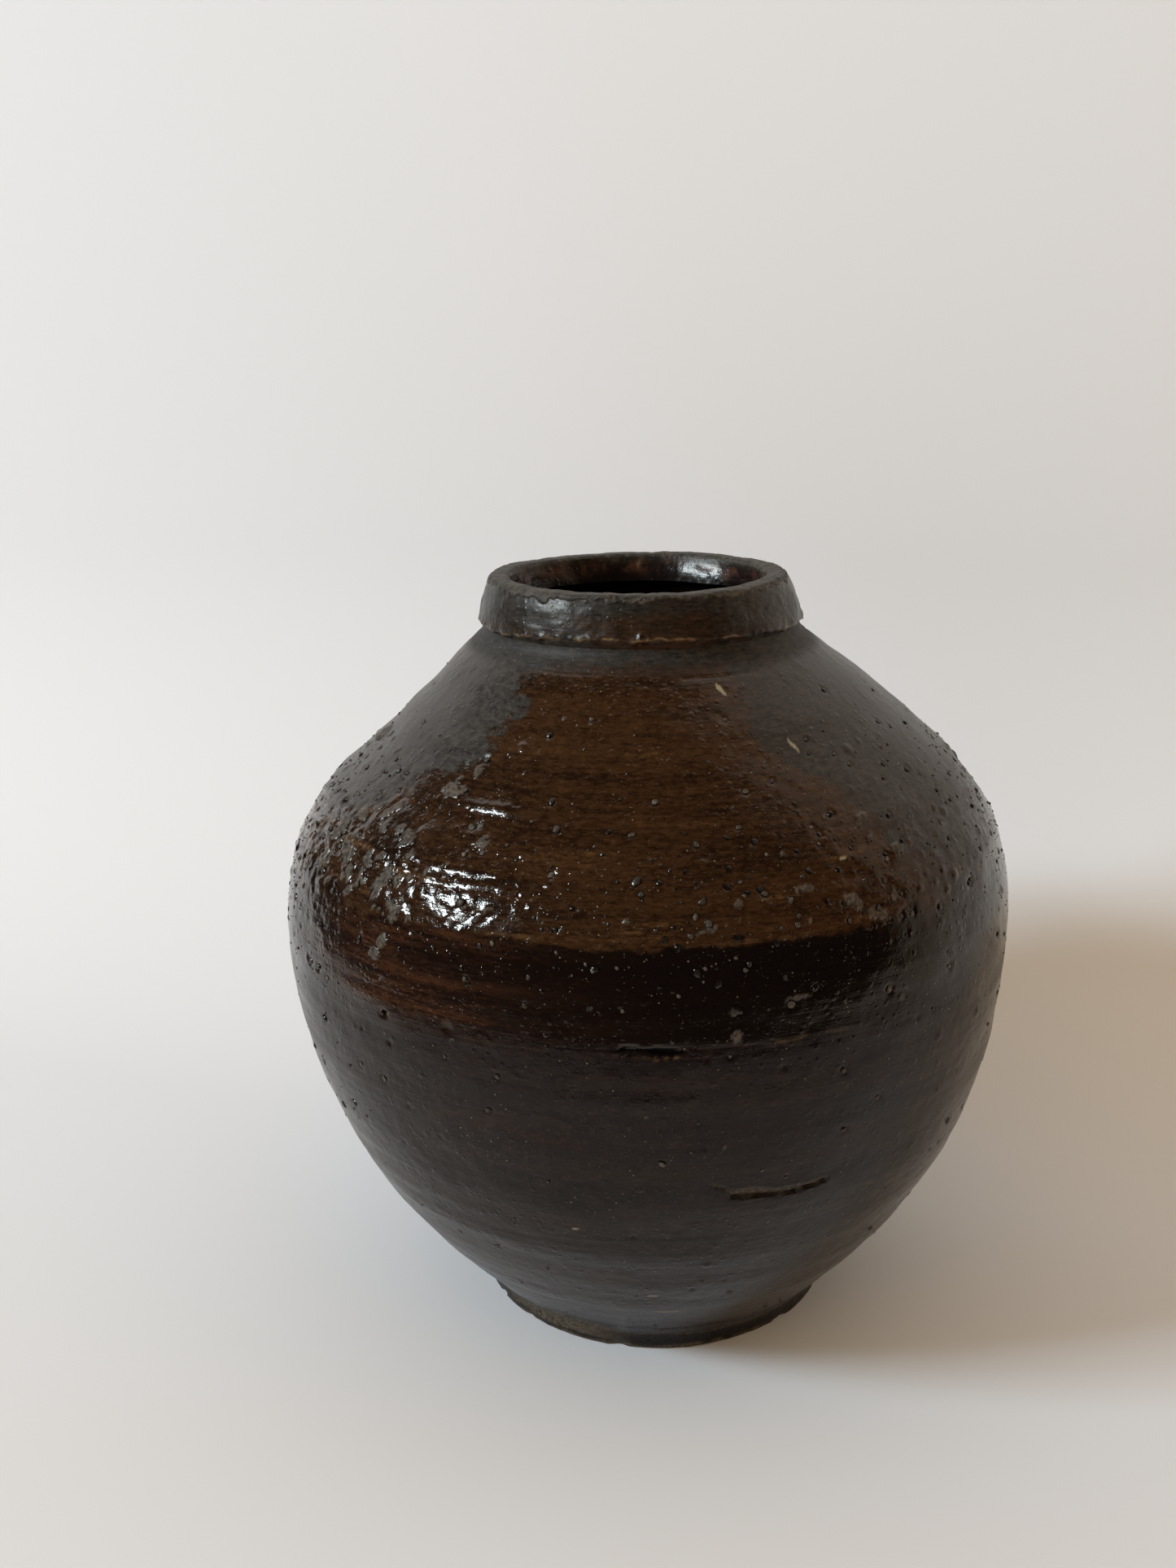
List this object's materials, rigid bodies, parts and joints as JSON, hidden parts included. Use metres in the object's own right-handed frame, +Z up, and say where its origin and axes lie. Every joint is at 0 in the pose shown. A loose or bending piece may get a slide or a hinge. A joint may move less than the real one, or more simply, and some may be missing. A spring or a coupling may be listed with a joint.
{
  "type": "onggi jar",
  "caption": "Brown ash-glazed onggi storage jar with a full belly, narrow mouth and folded rim band, built up from luted strips of clay.",
  "frame": {"origin": "centre of the flat foot, on the surface the jar stands on", "axes": "+Z up the axis of the jar towards the mouth; -Y towards the viewer of the picture, with +X to the right"},
  "size_m": [0.282, 0.282, 0.29],
  "materials": {
    "ash_glaze": "dark brown glossy ash glaze with fine streaks and pits",
    "rim_glaze": "dark brown glaze, worn matte on top of the lip",
    "inner_glaze": "dark red-brown glaze, satin",
    "raw_clay": "unglazed fired clay, olive brown, matte",
    "kiln_crust": "rough grey-brown grit with a little glaze over it"
  },
  "bodies": {
    "root": {"base_slab": "raw_clay", "base_lute": "inner_glaze", "foot_course": "ash_glaze", "lower_course": "ash_glaze", "belly_course": "ash_glaze", "ridge_course": "ash_glaze", "shoulder_course": "ash_glaze", "neck_course": "ash_glaze", "rim_band": "rim_glaze", "kiln_grit": "kiln_crust"}
  },
  "joints": []
}
